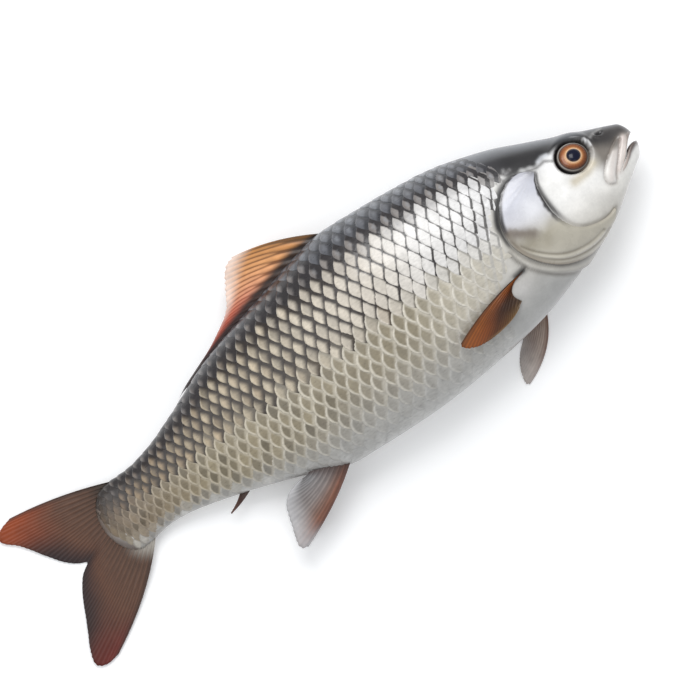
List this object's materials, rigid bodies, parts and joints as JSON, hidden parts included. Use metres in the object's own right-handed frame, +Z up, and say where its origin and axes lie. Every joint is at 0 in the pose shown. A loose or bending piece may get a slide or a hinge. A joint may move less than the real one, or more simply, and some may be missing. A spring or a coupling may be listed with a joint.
{
  "type": "whole raw fish",
  "caption": "Whole raw fish of the carp family lying on its side, with large scales, gill covers, open mouth, dorsal, tail, belly and pectoral fins",
  "frame": {"origin": "on the table under the middle of the fish's bounding box", "axes": "+X towards the snout, +Y towards the back and the dorsal fin, +Z up out of the right flank, which faces upwards"},
  "size_m": [0.3542, 0.1316, 0.0527],
  "materials": {
    "wet_skin": "gloss",
    "gill_plate": "gloss",
    "lip": "gloss",
    "fin": "satin",
    "eye": "polished"
  },
  "bodies": {
    "root": {"body": "wet_skin", "lower_jaw": "lip", "gill_cover_right": "gill_plate", "gill_cover_left": "gill_plate", "eye_right": "eye", "eye_left": "eye", "dorsal_fin": "fin", "tail_fin": "fin", "anal_fin": "fin", "pectoral_fin_right": "fin", "pectoral_fin_left": "fin", "pelvic_fin_right": "fin", "pelvic_fin_left": "fin"}
  },
  "joints": []
}
